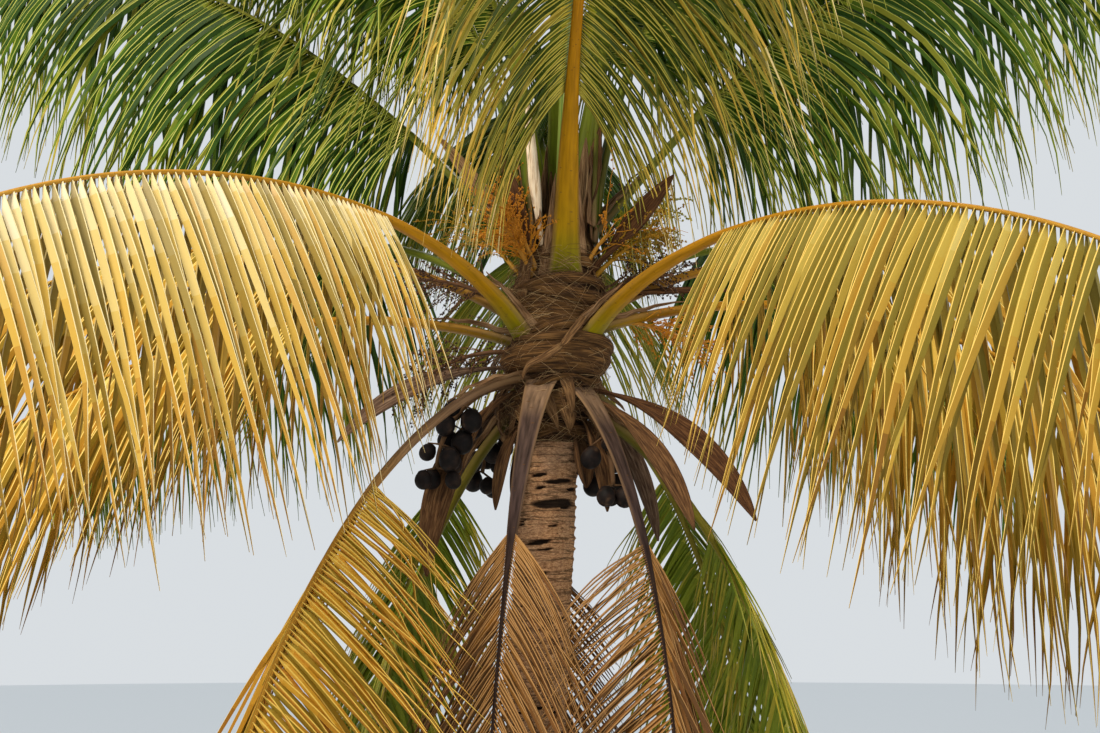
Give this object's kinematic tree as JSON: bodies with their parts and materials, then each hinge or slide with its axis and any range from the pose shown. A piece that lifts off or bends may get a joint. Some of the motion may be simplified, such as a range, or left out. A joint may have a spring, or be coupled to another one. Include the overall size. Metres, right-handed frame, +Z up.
{
  "type": "coconut palm tree",
  "caption": "Dwarf coconut palm with a slim leaning trunk, a crown of arching green and gold fronds, and dead fronds hanging along the trunk.",
  "frame": {"origin": "middle of the flat cut under the trunk, at ground level", "axes": "+Z up, +Y away from the picture's camera, +X to the right in the picture; the trunk leans towards +X"},
  "size_m": [6.9822, 6.5134, 7.1651],
  "materials": {
    "trunk_bark": "rough, fibrous, ringed by leaf scars",
    "leaf_base_fibre": "matted dry fibre and old leaf bases",
    "frond_green": "smooth live leaf, slight sheen",
    "frond_lime": "smooth ageing leaf, slight sheen",
    "frond_gold": "yellowed leaf with pale midribs and brown specks",
    "frond_ochre": "drying leaf, dull",
    "frond_dead": "dry brown leaf, matt"
  },
  "bodies": {
    "root": {"crown_column": "leaf_base_fibre", "frond_back_high_inner": "frond_green", "frond_back_high_outer": "frond_green", "frond_back_left_inner": "frond_green", "frond_back_left_outer": "frond_green", "frond_back_middle_inner": "frond_lime", "frond_back_middle_outer": "frond_lime", "frond_back_right_inner": "frond_green", "frond_back_right_outer": "frond_green", "frond_dead_back_inner": "frond_dead", "frond_dead_back_outer": "frond_dead", "frond_dead_left_inner": "frond_dead", "frond_dead_left_outer": "frond_dead", "frond_dead_right_inner": "frond_dead", "frond_dead_right_outer": "frond_dead", "frond_drooping_left_inner": "frond_lime", "frond_drooping_left_outer": "frond_lime", "frond_front_left_inner": "frond_gold", "frond_front_left_outer": "frond_gold", "frond_front_middle_inner": "frond_lime", "frond_front_middle_outer": "frond_lime", "frond_front_right_inner": "frond_gold", "frond_front_right_outer": "frond_gold", "frond_hanging_back_left_inner": "frond_lime", "frond_hanging_back_left_outer": "frond_lime", "frond_hanging_back_right_inner": "frond_lime", "frond_hanging_back_right_outer": "frond_lime", "frond_hanging_left_inner": "frond_ochre", "frond_hanging_left_outer": "frond_ochre", "frond_hanging_right_inner": "frond_lime", "frond_hanging_right_outer": "frond_lime", "frond_heart_back_inner": "frond_green", "frond_heart_back_outer": "frond_green", "frond_heart_left_inner": "frond_green", "frond_heart_left_outer": "frond_green", "frond_heart_right_inner": "frond_green", "frond_heart_right_outer": "frond_green", "frond_high_back_left_inner": "frond_green", "frond_high_back_left_outer": "frond_green", "frond_high_back_right_inner": "frond_green", "frond_high_back_right_outer": "frond_green", "frond_high_left_inner": "frond_green", "frond_high_left_outer": "frond_green", "frond_high_right_inner": "frond_green", "frond_high_right_outer": "frond_green", "frond_mid_left_inner": "frond_gold", "frond_mid_left_outer": "frond_gold", "frond_mid_right_inner": "frond_gold", "frond_mid_right_outer": "frond_gold", "frond_side_left_inner": "frond_gold", "frond_side_left_outer": "frond_gold", "frond_side_right_inner": "frond_gold", "frond_side_right_outer": "frond_gold", "frond_upper_left_inner": "frond_green", "frond_upper_left_outer": "frond_green", "frond_upper_right_inner": "frond_green", "frond_upper_right_outer": "frond_green", "spear_leaf": "frond_lime", "trunk": "trunk_bark"}
  },
  "joints": []
}
